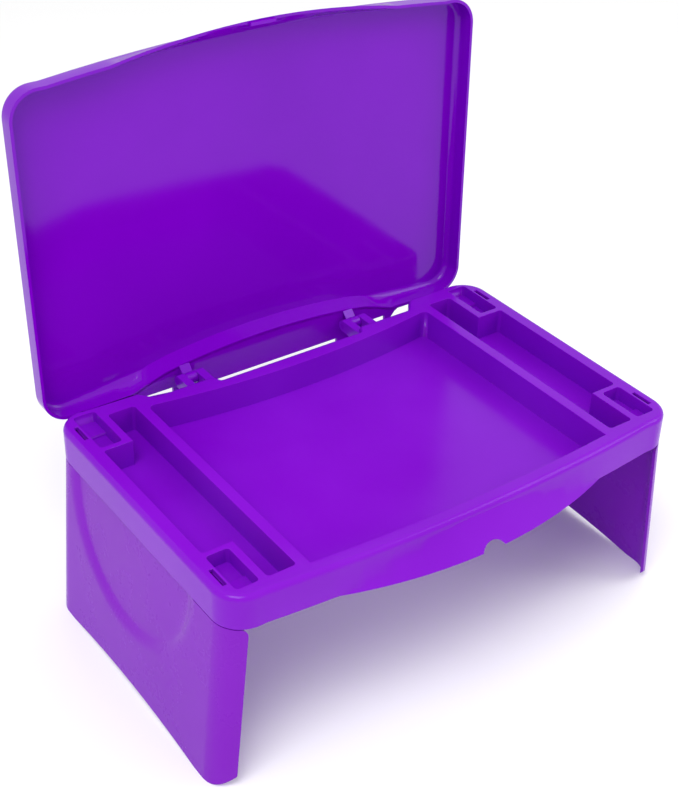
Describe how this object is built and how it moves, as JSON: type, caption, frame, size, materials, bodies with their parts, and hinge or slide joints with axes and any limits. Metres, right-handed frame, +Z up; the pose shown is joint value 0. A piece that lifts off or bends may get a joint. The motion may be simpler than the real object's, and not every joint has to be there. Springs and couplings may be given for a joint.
{
  "type": "lap desk with lift lid",
  "caption": "Folding lap desk: a compartmented plastic tray with a hinged lid that serves as the writing top and fold-under side legs.",
  "frame": {"origin": "on the floor under the middle of the standing desk's footprint, lid open", "axes": "+X along the desk's width to its right as seen from the front, +Y from the front to the hinged back, +Z up; lid drawn open, legs drawn unfolded"},
  "size_m": [0.4712, 0.3487, 0.4771],
  "materials": {
    "tray_plastic": "glossy injection-moulded polypropylene, purple",
    "lid_plastic": "glossy injection-moulded polypropylene, purple",
    "leg_plastic": "glossy injection-moulded polypropylene, purple"
  },
  "bodies": {
    "tray": {"tray": "tray_plastic"},
    "lid": {"lid": "lid_plastic"},
    "left_leg": {"left_leg": "leg_plastic"},
    "right_leg": {"right_leg": "leg_plastic"}
  },
  "joints": [
    {"name": "lid_hinge", "type": "hinge", "parent": "tray", "child": "lid", "pos_m": [0, 0.13656, 0.176], "axis": [1, 0, 0], "range_deg": [0, 91.5]},
    {"name": "left_leg_fold", "type": "hinge", "parent": "tray", "child": "left_leg", "pos_m": [-0.21144, 0, 0.1495], "axis": [0, -1, 0], "range_deg": [0, 95]},
    {"name": "right_leg_fold", "type": "hinge", "parent": "tray", "child": "right_leg", "pos_m": [0.21144, 0, 0.1495], "axis": [0, 1, 0], "range_deg": [0, 95]}
  ]
}
